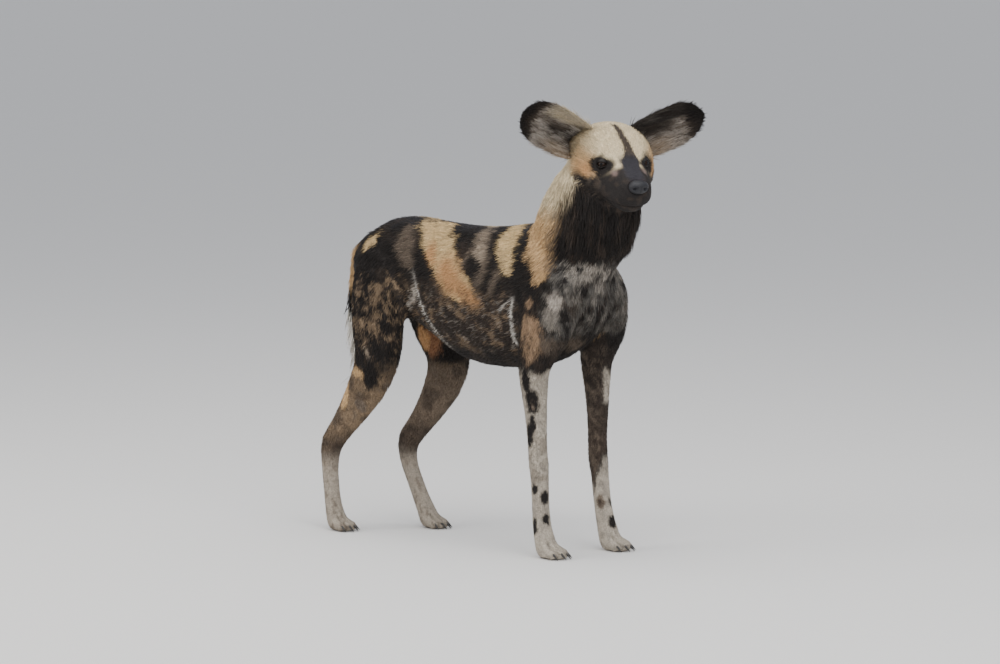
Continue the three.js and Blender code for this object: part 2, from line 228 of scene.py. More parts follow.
# The far flank carries a pattern of the same kind, laid out afresh.
farBands = [
    ("mottle", [560, 600, 640], [-176, -186, -196], [14, 22, 14]),
    ("sand", [520, 540, 570, 600, 630, 660], [-70, -88, -112, -128, -150, -160], [10, 38, 46, 42, 40, 26]),
    ("cream", [560, 590, 625, 660], [10, 8, 14, 22], [8, 22, 30, 18]),
    ("grey", [560, 590, 620], [56, 60, 64], [8, 14, 6]),
    ("tan", [540, 570, 600, 640], [110, 102, 98, 100], [10, 28, 32, 16]),
    ("tan", [566, 594, 633, 652, 690], [214, 206, 200, 204, 212], [10, 30, 42, 50, 50]),
    ("tan", [430, 455, 480, 500], [238, 236, 232, 226], [8, 24, 28, 8]),
]
# Smaller patches: shade, x, z, half length, half width, slope, edge.
flankPatches = [
    ("orange", -24, 550, 40, 32, -50, 0.6),
    ("orange", 20, 520, 34, 22, -30, 0.5),
    ("orange", -84, 590, 26, 14, -70, 0.7),
    ("mottle", 100, 556, 30, 9, 65, 0.8),
    ("mottle", 62, 560, 34, 9, 65, 0.7),
    ("mottle", 20, 590, 26, 6, 65, 0.7),
    ("mottle", 250, 432, 22, 12, 70, 0.7),
    ("sand", -261, 601, 24, 10, 40, 0.3),
    ("fleck", -214, 497, 17, 11, 80, 0.5),
    ("fleck", -210, 514, 9, 8, 0, 0.5),
    ("fleck", -254, 506, 9, 8, 0, 0.5),
    ("fleck", -209, 461, 13, 10, 60, 0.5),
    ("fleck", -251, 438, 15, 12, 70, 0.5),
    ("fleck", -213, 437, 14, 8, 100, 0.5),
    ("fleck", -193, 518, 7, 6, 0, 0.5),
    ("fleck", -178, 508, 7, 6, 0, 0.5),
    ("fleck", -236, 470, 8, 6, 0, 0.6),
    ("fleck", -180, 412, 7, 5, 60, 0.6),
    ("fleck", -226, 405, 8, 5, 70, 0.6),
    ("ash", -229, 382, 13, 5, 100, 0.6),
    ("fleck", -233, 357, 9, 6, 60, 0.6),
    ("pale", -134, 508, 15, 8, 75, 0.6),
    ("pale", -151, 488, 20, 4, 65, 0.6),
]
farPatches = [
    ("orange", -92, 560, 34, 26, -50, 0.6),
    ("mottle", 40, 560, 40, 16, 75, 0.6),
    ("pale", 150, 500, 30, 6, 80, 0.5),
    ("sand", -262, 596, 26, 14, 40, 0.3),
    ("fleck", -190, 505, 18, 12, 60, 0.5),
    ("fleck", -165, 470, 16, 11, 70, 0.5),
    ("fleck", -205, 450, 14, 9, 30, 0.5),
    ("rust", -180, 395, 30, 22, 80, 0.4),
    ("pale", -150, 430, 9, 6, 0, 0.4),
]
# White hairs along the folds of the near side: heights and places along x.
foldLines = [
    ([396, 404, 434, 470, 512, 538, 560], [-50, -62, -83, -105, -117, -126, -131], 2.6),
    ([412, 429, 467, 488, 517], [150, 138, 138, 141, 149], 2.5),
    ([484, 503, 519], [110, 128, 150], 2.2),
]
# Spots anywhere on the legs: shade, centre x, y, z, and half sizes.
legSpots = [
    ("black", 207, -103, 314, 15, 20, 29),
    ("mottle", 208, -106, 311, 5, 10, 10),
    ("black", 196, -98, 358, 12, 20, 30),
    ("black", 203, -100, 268, 7, 16, 15),
    ("black", 194, -96, 246, 9, 18, 30),
    ("black", 206, -95, 138, 9, 14, 13),
    ("black", 227, -82, 121, 13, 13, 16),
    ("black", 231, -84, 79, 11, 12, 13),
    ("black", 207, -97, 62, 8, 13, 16),
    ("black", 190, -66, 170, 10, 12, 16),
    ("black", 205, -58, 95, 12, 10, 14),
    ("mottle", 243, 69, 97, 12, 12, 14),
    ("brown", 243, 68, 97, 5, 8, 8),
    ("black", 258, 94, 98, 8, 12, 14),
    ("black", 263, 84, 60, 12, 13, 13),
    ("orange", -206, 36, 400, 22, 20, 26),
    ("tan", -306, -97, 300, 14, 26, 50),
    ("tan", -262, -96, 340, 20, 26, 14),
    ("mottle", -262, -92, 272, 14, 20, 20),
    ("black", -226, -84, 344, 24, 36, 38),
]
# Spots of the chest below the ruff, in the same order.
chestSpots = [
    ("black", 310, -36, 548, 20, 26, 13),
    ("grey", 301, -62, 571, 12, 14, 9),
    ("pale", 322, 2, 556, 14, 14, 16),
    ("pale", 264, -102, 514, 17, 20, 20),
    ("grey", 258, -106, 482, 18, 20, 18),
    ("black", 270, -84, 578, 18, 20, 12),
    ("black", 298, -68, 536, 18, 22, 13),
    ("black", 236, -101, 547, 14, 20, 16),
    ("black", 240, -108, 508, 10, 20, 12),
    ("brown", 290, -70, 500, 14, 18, 12),
]


def patchMask(points, x, z, length, width, slope, edge):
    turn = math.radians(slope)
    across = points[:, 0] - x
    rise = points[:, 2] - z
    u = (across * math.cos(turn) + rise * math.sin(turn)) / length
    v = (rise * math.cos(turn) - across * math.sin(turn)) / width
    return below(np.sqrt(u * u + v * v), 1 - edge, 1 + edge)


def bandMask(points, heights, middles, halves):
    centre = np.interp(points[:, 2], heights, middles)
    half = np.interp(points[:, 2], heights, halves)
    start, end = heights[0], heights[-1]
    ends = soft(points[:, 2], start - 5, start + 5) * below(points[:, 2], end - 4, end + 8)
    return below(np.abs(points[:, 0] - centre) - half, -8, 8) * ends


def layersOn(colour):
    def lay(shade, mask):
        colour[:] += (shades[shade] - colour) * mask[:, None]
    return lay


def spotted(lay, points, spots, inner, outer, strength):
    for shade, *numbers in spots:
        lay(shade, strength * below(oval(points, numbers[:3], numbers[3:]), inner, outer))


def bodyMarkings(p, region):
    # every part but the head and the ears, from the place on the animal in millimetres
    along = np.stack([p[:, 0] + 0.5 * p[:, 2], p[:, 1], 0.4 * (p[:, 2] - 0.5 * p[:, 0])], 1)
    ragged = np.stack([noiseAt(p, 34, 1), noiseAt(p, 34, 2), noiseAt(p, 28, 3)], 1) * 7
    ragged += np.stack([noiseAt(along, 5, 4), noiseAt(along, 6, 5), noiseAt(along, 7, 6)], 1) * 8
    q = p + ragged
    x, y, z = q.T
    fine = noiseAt(along, 6, 7) + 0.5 * noiseAt(p, 3.4, 8)
    colour = np.tile(shades["black"], (len(p), 1))
    lay = layersOn(colour)
    # the top of the back is turned bluish grey: painted sheen of sky light on the black coat
    lay("skySheenBlack", soft(z, 628, 650) * (x < 150))
    lay("brown", 0.6 * soft(noiseAt(along, 18, 15), 0.0, 0.7))
    # flecked lower flank and thigh
    low = soft(z, 385, 430) * below(z, 500, 545) * soft(x, -190, -130) * below(x, 130, 165)
    lay("brown", 0.5 * low)
    blotch = noiseAt(along, 8, 33) + 0.5 * noiseAt(p, 4.5, 34) + 0.5 * noiseAt(p, 26, 35)
    lay("fleck", 0.85 * low * soft(blotch, 0.1, 0.5))
    lay("pale", 0.35 * low * soft(noiseAt(along, 4, 16), 0.35, 0.7))
    thigh = below(x, -160, -140) * soft(z, 335, 380) * below(z, 520, 560)
    lay("fleck", 0.75 * thigh * soft(fine, 0.25, 0.6) * soft(z, 380, 430))
    lay("fleck", 0.5 * thigh * soft(fine, 0.5, 0.8))
    near = below(y, -8, 8)
    outer = np.where(x > 150, soft(np.abs(p[:, 1]), 44, 66), 1.0)
    onBody = (region != "neck").astype(float)
    for bands, patches, mask in ((nearBands, flankPatches, near), (farBands, farPatches, 1 - near)):
        for shade, *line in bands:
            lay(shade, bandMask(q, *line) * mask * onBody * outer)
        for shade, *place in patches:
            broken = 0.35 + 0.65 * soft(fine, -0.5, 0.1) if shade == "fleck" else 1.0
            lay(shade, patchMask(q, *place) * mask * onBody * broken)
    # darker hair where a patch ends low on the flank
    frayed = soft(noiseAt(along, 6, 18), 0.05, 0.5) * below(z, 505, 560)
    lay("brown", 0.7 * frayed * soft(z, 480, 500) * (region == "torso"))
    lay("brown", 0.75 * frayed * soft(z, 380, 390) * (region == "fore_right_upper"))
    # darker hairs that break into the patches along the lie of the coat
    body = region == "torso"
    streak = noiseAt(np.stack([along[:, 0] * 0.22, p[:, 1], along[:, 2] * 2.2], 1), 5, 9)
    lay("brown", 0.45 * soft(streak, 0.25, 0.8) * body)
    for heights, places, half in foldLines:
        gap = (p[:, 0] + 0.8 * noiseAt(p, 14, 17) - np.interp(p[:, 2], heights, places)) / half
        line = np.exp(-gap * gap) * soft(p[:, 2], heights[0] - 4, heights[0] + 12)
        line *= below(p[:, 2], heights[-1] - 10, heights[-1] + 4)
        line *= 1 - 0.6 * soft(p[:, 2], 505, 535)
        lay("white", 0.85 * line * near * body)
    # neck: cream nape, tan sides, dark ruff
    warm = (region == "neck") * 1.0
    lay("tan", warm)
    lay("cream", warm * soft(z, 670, 712))
    shoulder = np.interp(z, [560, 594, 633, 652, 690, 730], [200, 180, 160, 156, 140, 60])
    lay("black", warm * below(x - shoulder, -8, 8))
    ruffFrom = np.interp(z, [560, 620, 660, 705, 745, 780], [242, 246, 256, 280, 320, 346])
    frost = soft(fine, -0.6, 0.4)
    lay("mottle", 0.6 * warm * soft(x, ruffFrom - 42, ruffFrom - 12) * frost)
    lay("brown", 0.6 * warm * soft(x, ruffFrom - 28, ruffFrom))
    lay("black", warm * soft(x, ruffFrom - 8, ruffFrom + 8))
    strands = soft(noiseAt(p * [1, 1, 0.35], 9, 12), -0.1, 0.6)
    lay("brown", 0.8 * warm * soft(x, ruffFrom, ruffFrom + 8) * strands)
    # the black band behind the tan shoulder, and a bluish painted sheen of sky light along the top of the
    # spine
    band = hump(x, 158, 9.0) * soft(z, 520, 560) * below(z, 630, 650)
    lay("black", band * body)
    lay("skySheenBlack", soft(z, 645, 662) * below(np.abs(y), 14, 30) * (x < 60) * body)
    # chest: grey, mottled and ringed with black, below the ruff
    chest = soft(x, 232, 252) * soft(z, 436, 462) * below(z, 586, 600)
    rings = noiseAt(p, 20, 10) + 0.7 * noiseAt(p * [1, 1, 0.5], 7, 11)
    lay("black", chest)
    lay("smoke", 0.9 * chest * soft(rings, -0.7, -0.1))
    lit = 0.5 + 0.5 * soft(z, 490, 560)
    lay("grey", 0.7 * lit * chest * soft(rings, -0.1, 0.5))
    lay("pale", 0.45 * lit * chest * soft(rings, 0.3, 0.8))
    lay("brown", 0.6 * chest * soft(noiseAt(along * [1, 1, 0.5], 5, 29), 0.1, 0.6))
    legMarkings(p, q, fine, lay, region)
    return colour


def legMarkings(p, q, fine, lay, region):
    x, y, z = (p + 0.35 * (q - p)).T
    z = z + 12 * noiseAt(p, 20, 19) * soft(z, 150, 190) + 5 * noiseAt(p, 7, 20)
    part = {name: np.char.startswith(region, name) for name in legNames}
    pale = part["fore_right"] * below(z, 362, 384)
    lay("stocking", pale)
    lay("grey", 0.6 * pale * soft(fine, 0.0, 0.5))
    lay("mottle", 0.4 * pale * soft(noiseAt(p, 15, 27), 0.15, 0.6) * soft(z, 60, 140))
    farFore = part["fore_left"] * 1.0
    lay("brown", (1 - 0.5 * soft(z, 240, 330)) * farFore * below(z, 380, 430))
    inner = below(z, 380, 420) * below(y, 70, 84)
    lay("mottle", 0.6 * farFore * inner * soft(fine, -0.3, 0.4))
    front = soft(y - 0.25 * (x - 240), 78, 86) * soft(z, 292, 304) * below(z, 356, 366)
    lowFore = soft(x - 0.30 * (z - 128), 222, 230) * below(z, 184, 200)
    paleFore = np.maximum(np.maximum(front, lowFore), below(z, 118, 136)) * farFore
    lay("stocking", paleFore)
    lay("grey", 0.6 * paleFore * soft(fine, 0.0, 0.5))
    edge = np.clip(lowFore * (1 - lowFore) * 4, 0, 1) * farFore
    lay("black", 0.8 * edge)
    for name, deeper in (("hind_right", 0.0), ("hind_left", 0.8)):
        hind = part[name] * 1.0
        shin = hind * below(z, 330, 362)
        lay("fleck", shin)
        lay("mottle", deeper * shin)
        lay("brown", 0.7 * shin * soft(noiseAt(p, 26, 13), 0.0, 0.5))
        lay("mottle", 0.6 * shin * soft(noiseAt(p, 11, 14), 0.2, 0.7))
        lay("brown", 0.75 * hind * hump(z, 176, 34))
        cannon = hind * below(z, 112, 176)
        lay("stocking", cannon)
        lay("mottle", 0.3 * cannon)
        lay("mottle", 0.7 * cannon * soft(fine, 0.1, 0.6))
    moved = np.column_stack([x, y, z])
    spotted(lay, moved, legSpots, 0.8, 1.15, 1.0)
    spotted(lay, moved, chestSpots, 0.6, 1.3, 0.85)
    tail = np.char.startswith(region, "tail") * 1.0
    lay("tan", tail * below(z, 570, 600))
    lay("black", tail * below(z, 488, 504))
    lay("white", tail * below(z, 442, 460))


def headMarkings(points):
    p = toHead(points)
    q = p + np.stack([noiseAt(p, 16, 21), noiseAt(p, 16, 22), noiseAt(p, 16, 23)], 1) * 4
    x, y, z = q.T
    side = np.abs(y)
    colour = np.tile(shades["cream"], (len(p), 1))
    lay = layersOn(colour)
    lay("tan", 0.8 * soft(side, 46, 70) * below(z, 6, 34) * soft(x, -60, -10))
    lay("orange", hump(x, 6, 26) * hump(side, 68, 20) * hump(z, -18, 20))
    fromEye = np.interp(side, [46, 66], [6, 27]) - 0.12 * np.clip(30 - x, 0, 60)
    dark = soft(-z - fromEye, -5, 10) * soft(x - 0.8 * z - 16, -24, 10)
    lay("muzzle", dark)
    lay("mottle", 0.45 * dark * below(x, 40, 60) * soft(noiseAt(p, 12, 24), 0.0, 0.5))
    muzzle = soft(x + 0.35 * (20 - z) - 0.1 * side, 48, 68)
    lay("muzzle", muzzle)
    # the top of the muzzle: its black hair is painted bluish grey as a sheen of sky light, and is kept free
    # of brown below
    muzzleTopSheen = below(side, 11, 22) * soft(x, 24, 46) * soft(z, -18, -2)
    lay("muzzleTopSheen", muzzleTopSheen)
    stripeWidth = np.interp(p[:, 0], [-46, -20, 10, 26, 40], [2.5, 4.5, 5.5, 9, 16])
    wander = np.interp(p[:, 0], [-46, -20, -4, 12, 34, 60], [-1, 2, 2, 8, 9, 3]) + 1.5 * noiseAt(p, 13, 25)
    stripe = below(np.abs(p[:, 1] - wander), stripeWidth, stripeWidth + 3.5) * soft(p[:, 0], -50, -38)
    stripe *= 0.95 * soft(p[:, 2], -10, 0)
    lay("stripe", stripe)
    # where the stripe reaches the top of the muzzle it takes the same painted sheen
    lay("muzzleTopSheen", stripe * soft(x, 20, 40))
    warmth = soft(noiseAt(p, 10, 28), 0.0, 0.6) * (1 - muzzleTopSheen)
    lay("brown", 0.5 * np.maximum(dark, muzzle) * warmth)
    for s in sides.values():
        eye = toHead(np.array(middle("eye_left" if s > 0 else "eye_right"))[None])[0]
        gap = oval(q, eye + [3, 0, -3], (33, 29, 22))
        lay("black", below(gap + 0.12 * noiseAt(p, 9, 26), 0.72, 1.15))
        spotted(lay, q, [("pink", 62, 31 * s, -4, 13, 9, 9)], 0.3, 1.2, 0.6)
    lay("black", hump(z, mouthHeight(x), 3) * soft(x, 20, 40))
    return colour


def mouthHeight(x):
    return np.interp(x, [22, 60, 118], [-63.5, -60.9, -56.5])


def markings(points, region):
    colour = bodyMarkings(toAnimal(points), region)
    onFace = region == "head"
    if onFace.any():
        colour[onFace] = headMarkings(points[onFace])
    grain = 1 + 0.10 * noiseAt(points * 1000, 5, 30) + 0.07 * noiseAt(points * 1000, 40, 31)
    return np.clip(colour * grain[:, None], 0, 1)


# Materials: the coat and the skin read the same markings.
def newMaterial(name, **values):
    material = bpy.data.materials.new(name)
    material.use_nodes = True
    shader = material.node_tree.nodes["Principled BSDF"]
    for key, value in values.items():
        shader.inputs[key].default_value = value
    return material, shader


def addNode(beside, kind, **values):
    node = beside.id_data.nodes.new("ShaderNode" + kind)
    for key, value in values.items():
        if key in node.inputs:
            node.inputs[key].default_value = value
        else:
            setattr(node, key, value)
    return node


def join(source, output, target, entry):
    source.id_data.links.new(source.outputs[output], target.inputs[entry])


def objectTexture(shader, kind, **values):
    texture = addNode(shader, kind, **values)
    join(addNode(shader, "TexCoord"), "Object", texture, "Vector")
    return texture


def bumped(shader, texture, output, depth):
    bump = addNode(shader, "Bump", Strength=0.5, Distance=depth)
    join(texture, output, bump, "Height")
    join(bump, "Normal", shader, "Normal")


def markedMaterial(name, roughness, bumpSize, bumpDepth, darker):
    material, shader = newMaterial(name, **{"Roughness": roughness, "Specular IOR Level": 0.25})
    grain = objectTexture(shader, "TexNoise", Scale=bumpSize, Detail=3.0)
    levels = {"From Min": 0.3, "From Max": 0.7, "To Min": darker, "To Max": 1.12}
    ramp = addNode(shader, "MapRange", **levels)
    mix = addNode(shader, "VectorMath", operation="SCALE")
    join(grain, "Fac", ramp, "Value")
    join(addNode(shader, "Attribute", attribute_name="markings"), "Color", mix, 0)
    join(ramp, "Result", mix, "Scale")
    join(mix, "Vector", shader, "Base Color")
    bumped(shader, grain, "Fac", bumpDepth)
    return material


furMaterial = markedMaterial("fur", 0.72, 260, 0.0008, 0.82)
skinMaterial = markedMaterial("underfur", 0.85, 420, 0.0012, 0.62)
lidMaterial = markedMaterial("lidSkin", 0.5, 700, 0.0005, 0.9)
noseLook = {"Base Color": (0.014, 0.014, 0.017, 1), "Roughness": 0.46, "Specular IOR Level": 0.35}
noseMaterial, shader = newMaterial("noseLeather", **noseLook)
bumped(shader, objectTexture(shader, "TexVoronoi", Scale=900.0), "Distance", 0.0006)
clawMaterial, shader = newMaterial("clawHorn", **{"Base Color": (0.02, 0.017, 0.015, 1)})
tone = addNode(shader, "MapRange", **{"To Min": 0.25, "To Max": 0.55})
join(objectTexture(shader, "TexNoise", Scale=500.0, Detail=2.0), "Fac", tone, "Value")
join(tone, "Result", shader, "Roughness")

# by leg: the middle of the paw on the floor; by pair: the size of the paw
pawPlaces = {"fore_right": (226, -78), "fore_left": (256, 86), "hind_right": (-344, -76),
             "hind_left": (-222, 76)}
pawScales = {"fore": 1.0, "hind": 0.94}
toeGap = 14.2

# The skin: the flesh nodes melted into one surface, let in by the depth of the coat.
# the mesh is finer on the face, ahead of faceFrom and within faceReach, and below pawHeight
skinPlan = {"voxel": 0.0047, "smoothing": 6, "inflate": 0.0006, "faceFrom": -30, "faceReach": 0.14,
            "pawHeight": 0.046, "lowest": 0.0001}
fleshNodes = ["head", "neck", "torso", "tail_base", "tail_brush"]
fleshNodes += [f"{leg}_{part}" for leg in legNames for part in ("upper", "lower", "foot")]
# by part: coat depth, tuft length, tuft width, tufts per square centimetre, lift, all lengths in mm
coatKinds = {
    "head": (2.0, 8, 1.2, 28, 0.30),
    "neck": (13.0, 27, 2.5, 10, 0.38),
    "torso": (5.0, 17, 2.0, 12, 0.29),
    "upper": (4.5, 14, 1.85, 12.4, 0.28),
    "lower": (2.2, 9, 1.38, 16.8, 0.24),
    "foot": (1.6, 6, 1.25, 19, 0.22),
    "tail_base": (5.0, 20, 2.0, 14, 0.28),
    "tail_brush": (9.0, 72, 3.6, 11, 0.22),
}


def kindOf(node):
    return node if node in coatKinds else node.split("_")[-1]


# neck and tail without their locks: x, y, z of the middle, half width, reach ahead, reach behind
neckCore = [(186, 0, 540, 70, 88, 88), (222, 0, 600, 84, 108, 96), (250, -1, 662, 95, 126, 100),
            (276, -4, 718, 96, 124, 90), (300, -8, 766, 92, 113, 73), (318, -14, 796, 79, 92, 58)]
tailCore = [(-290, 0, 612, 21, 17, 22), (-336, 0, 570, 24, 20, 28), (-350, 2, 522, 23, 20, 25),
            (-352, 4, 470, 23, 20, 23), (-350, 6, 420, 22, 20, 22), (-348, 8, 370, 19, 18, 19),
            (-345, 10, 330, 12, 12, 12)]


def tube(bm, stations):
    places = [Vector(station[:3]) for station in stations]
    rings = []
    for number, (place, (wide, ahead, behind)) in enumerate(zip(places, (s[3:] for s in stations))):
        along = (places[min(number + 1, len(places) - 1)] - places[max(number - 1, 0)]).normalized()
        rise = (Vector((1, 0, 0)) - along * along.x).normalized()
        side = along.cross(rise)
        ring = bmesh.ops.create_circle(bm, segments=28, radius=1.0)["verts"]
        rings.append(list({e for v in ring for e in v.link_edges}))
        for vert in ring:
            across, forward = vert.co.x, vert.co.y
            vert.co = place + side * across * wide + rise * forward * (ahead if forward > 0 else behind)
    for first, second in zip(rings, rings[1:]):
        bmesh.ops.bridge_loops(bm, edges=first + second)
    bmesh.ops.holes_fill(bm, edges=rings[0] + rings[-1], sides=0)


allAxes = {"use_axis_x": True, "use_axis_y": True, "use_axis_z": True}


def meltedSkin():
    bm = bmesh.new()
    for stations in (neckCore, tailCore):
        tube(bm, stations)
    bmesh.ops.recalc_face_normals(bm, faces=bm.faces)
    toFrame = Matrix.Translation(animalOrigin) @ Matrix.Scale(0.001, 4)
    bmesh.ops.transform(bm, matrix=toFrame, verts=bm.verts)
    for node in fleshNodes:
        if node not in ("neck", "tail_base", "tail_brush"):
            bm.from_mesh(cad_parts[node].data)
    bmesh.ops.remove_doubles(bm, verts=bm.verts, dist=1e-5)
    bm.normal_update()
    for vert in bm.verts:
        vert.co += vert.normal * skinPlan["inflate"]
    remesh = {"mode": "VOXEL", "voxel_size": skinPlan["voxel"]}
    melted = applied(meshFrom(bm, "melt"), "melted", [("REMESH", remesh)])
    bm = bmesh.new()
    bm.from_mesh(melted)
    for _ in range(skinPlan["smoothing"]):
        bmesh.ops.smooth_vert(bm, verts=bm.verts, factor=0.5, **allAxes)
    inverse = headMatrix.inverted()
    throatHeight = onHead(60, 0, -100).z
    finer = []
    for edge in bm.edges:
        onHeadAt = inverse @ edge.verts[0].co
        if onHeadAt.x * 1000 > skinPlan["faceFrom"] and onHeadAt.length < skinPlan["faceReach"]:
            if edge.verts[0].co.z > throatHeight:
                finer.append(edge)
    finer += [e for e in bm.edges if max(v.co.z for v in e.verts) < skinPlan["pawHeight"]]
    bmesh.ops.subdivide_edges(bm, edges=finer, cuts=1, use_grid_fill=True)
    bmesh.ops.triangulate(bm, faces=[f for f in bm.faces if len(f.verts) > 4])
    return meshFrom(bm, "skin")


def faceTree(nodes):
    owners = [(face.center, node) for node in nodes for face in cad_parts[node].data.polygons]
    tree = KDTree(len(owners))
    for number, (centre, node) in enumerate(owners):
        tree.insert(centre, number)
    tree.balance()
    return tree, [node for centre, node in owners]


def nearestRegion(points):
    tree, labels = faceTree(fleshNodes)
    return np.array([labels[tree.find(p)[1]] for p in points])


def earCloseness(h, s):
    return below(oval(h, (-46, 56 * s, 14), (30, 26, 40)), 0.7, 1.25)


# the way the hair lies by place, before it is turned into the surface
lieWays = {"body": (-1, 0, -0.45), "nape": (-0.75, 0, -0.75), "throatAdds": (0.55, 0, -0.4),
           "limb": (-0.25, 0, -1), "foot": (0.15, 0, -1), "paw": (0.8, 0, -0.6),
           "tail": (-0.30, 0, -1), "brush": (0.02, 0.02, -1)}


def coatLie(points, region):
    p = toAnimal(points)
    flow = np.zeros_like(p)
    flow[:] = lieWays["body"]
    neck = region == "neck"
    throat = soft(p[:, 0] - 0.5 * (700 - p[:, 2]), 230, 300)[:, None]
    flow[neck] = (np.array(lieWays["nape"]) + throat * np.array(lieWays["throatAdds"]))[neck]
    limb = np.char.startswith(region, "fore") | np.char.startswith(region, "hind")
    feet = np.char.endswith(region, "_foot")
    flow[limb] = lieWays["limb"]
    flow[feet] = lieWays["foot"]
    flow[feet & (p[:, 2] < 45)] = lieWays["paw"]
    flow[np.char.startswith(region, "tail")] = lieWays["tail"]
    flow[region == "tail_brush"] = lieWays["brush"]
    onFace = region == "head"
    h = toHead(points)
    away = h - np.array([112, 0, -20])
    away[:, 2] += 0.25 * h[:, 0]
    for s in sides.values():
        toEar = earCloseness(h, s)[:, None]
        away = away * (1 - toEar) + toEar * 60 * np.array([-0.35, 0.85 * s, 0.38])
    rotate = np.array(headMatrix)[:3, :3]
    flow[onFace] = (away @ rotate.T)[onFace]
    return flow / np.linalg.norm(flow, axis=1, keepdims=True)


skinMesh = meltedSkin()
places, normals, triangles, edges = meshArrays(skinMesh)
region = nearestRegion(places)
print("skin melted:", len(places), "vertices")
kinds = np.array([coatKinds[kindOf(r)] for r in region], dtype=float)
animal = toAnimal(places)
onNeck = region == "neck"
ruffEdge = np.interp(animal[:, 2], [560, 700, 780], [225, 262, 330])
ruff = onNeck * soft(animal[:, 0] - ruffEdge, -20, 40)
onFace = region == "head"
faceAt = toHead(places)
cheek = onFace * soft(np.abs(faceAt[:, 1]), 44, 64) * below(faceAt[:, 0], -10, 30)
cheek = np.maximum(cheek, onFace * soft(-faceAt[:, 2], 40, 70) * below(faceAt[:, 0], 10, 40))
byEar = onFace * np.maximum(earCloseness(faceAt, 1), earCloseness(faceAt, -1))
# where the coat differs within a part: how much of the place, and what it adds to the part's numbers
coatChanges = [
    (ruff, (4, -9, 0.3, 0, 0)),
    (ruff * soft(animal[:, 2], 600, 668), (3, 29, 0, 0, 0)),        # above the ruff's hem
    (onNeck, (0, 0, 0, 0, -0.12)),
    (cheek, (3.5, 15, 0.5, 0, 0)),
    (byEar, (0, 11, 0, 0, 0.12)),
    (onFace * soft(faceAt[:, 0], 20, 60), (0, -3.6, -0.3, 0, 0)),   # the muzzle
]
values = kinds + sum(mask[:, None] * np.array(added) for mask, added in coatChanges)
values = averaged(values, edges, 14)
calmed = averaged(places, edges, 36)
calm = averaged(onNeck * 1.0, edges, 8)[:, None]
places = places * (1 - calm) + calm * (calmed + normals * 0.003)
skinMesh.vertices.foreach_set("co", places.ravel())
skinMesh.update()
normals = meshArrays(skinMesh)[1]
lie = alongSurface(averaged(coatLie(places, region), edges, 16), normals)


# how far each form of the face stands out, in mm
faceHeights = {"mouth": -3.2, "lips": 0.9, "chin": 0.5, "furrow": -1.6, "brow": 2.2, "flews": 2.0,
               "hollow": -1.6}


def faceRelief(points):
    x, y, z = toHead(points).T
    side = np.abs(y)
    fromMouth = z - mouthHeight(x)
    forms = {
        "mouth": hump(fromMouth, 0, 1.8) * soft(x, 24, 40),
        "lips": hump(fromMouth, 4, 3) * soft(x, 30, 50),
        "chin": hump(fromMouth, -5, 3) * soft(x, 30, 50),
        "furrow": hump(y, 0, 6) * soft(x, -40, -10) * below(x, 30, 60) * soft(z, 0, 14),
        "brow": hump(x, 16, 14) * hump(side, 34, 12) * hump(z, 17, 7),
        "flews": hump(x, 74, 26) * hump(z, -44, 9) * soft(side, 12, 24),
        "hollow": hump(x, 44, 12) * hump(side, 34, 9) * hump(z, -14, 12),
    }
    return sum(faceHeights[name] * form for name, form in forms.items()) / 1000


def toeRelief(points, region):
    # three grooves that part the four toes of each paw
    p = toAnimal(points)
    depth = np.zeros(len(p))
    for leg, (x, y) in pawPlaces.items():
        scale = pawScales[leg[:4]]
        front = soft(p[:, 0] - x, 2, 16) * below(p[:, 2], 26, 46) * (region == f"{leg}_foot")
        for groove in (-1, 0, 1):
            depth += front * hump(p[:, 1], y + groove * toeGap * scale, 2.4)
    return -5.0 * depth / 1000


def foldRelief(points, region):
    p = toAnimal(points)
    heights, places, _ = foldLines[0]
    ridge = hump(p[:, 0], np.interp(p[:, 2], heights, places), 5)
    ridge *= soft(p[:, 2], 400, 430) * below(p[:, 2], 540, 575) * (p[:, 1] < 0)
    heights, places, _ = foldLines[1]
    crease = hump(p[:, 0], 8 + np.interp(p[:, 2], heights, places), 7)
    crease *= soft(p[:, 2], 420, 440) * below(p[:, 2], 520, 560)
    return (2.6 * ridge - 2.5 * crease) * (region == "torso") / 1000


relief = np.where(onFace, faceRelief(places), 0.0)
relief += toeRelief(places, region) + foldRelief(places, region)
depth = averaged(values[:, 0], edges, 4) / 1000
sole = soft(-normals[:, 2], 0.5, 0.8) * below(places[:, 2], 0.004, 0.010)
depth = depth * (1 - sole) + skinPlan["inflate"] * sole
skinPlaces = places - normals * (depth - relief)[:, None]
skinPlaces[:, 2] = np.maximum(skinPlaces[:, 2], skinPlan["lowest"])
skinMesh.vertices.foreach_set("co", skinPlaces.ravel())
skinMesh.update()
places, normals, triangles, edges = meshArrays(skinMesh)
growNormals = unit(averaged(normals, edges, 10))
painted(skinMesh, markings(places, region))
skinMesh.materials.append(skinMaterial)
addObject("skin", skinMesh, fleshNodes)
print("skin let in and painted:", len(triangles), "triangles")


# Tufts: thin blades of three sides that rise from their root and bend into the lie of the coat.
tuftPlan = {"sunk": 0.0012, "bend": 0.45, "paintedRootShade": 0.72, "tipLightAndHighlight": 0.40, "foot": 0.4, "waist": 0.5,
                "taper": 0.55, "keel": 0.55, "lowest": 0.0002, "patch": 0.0015}


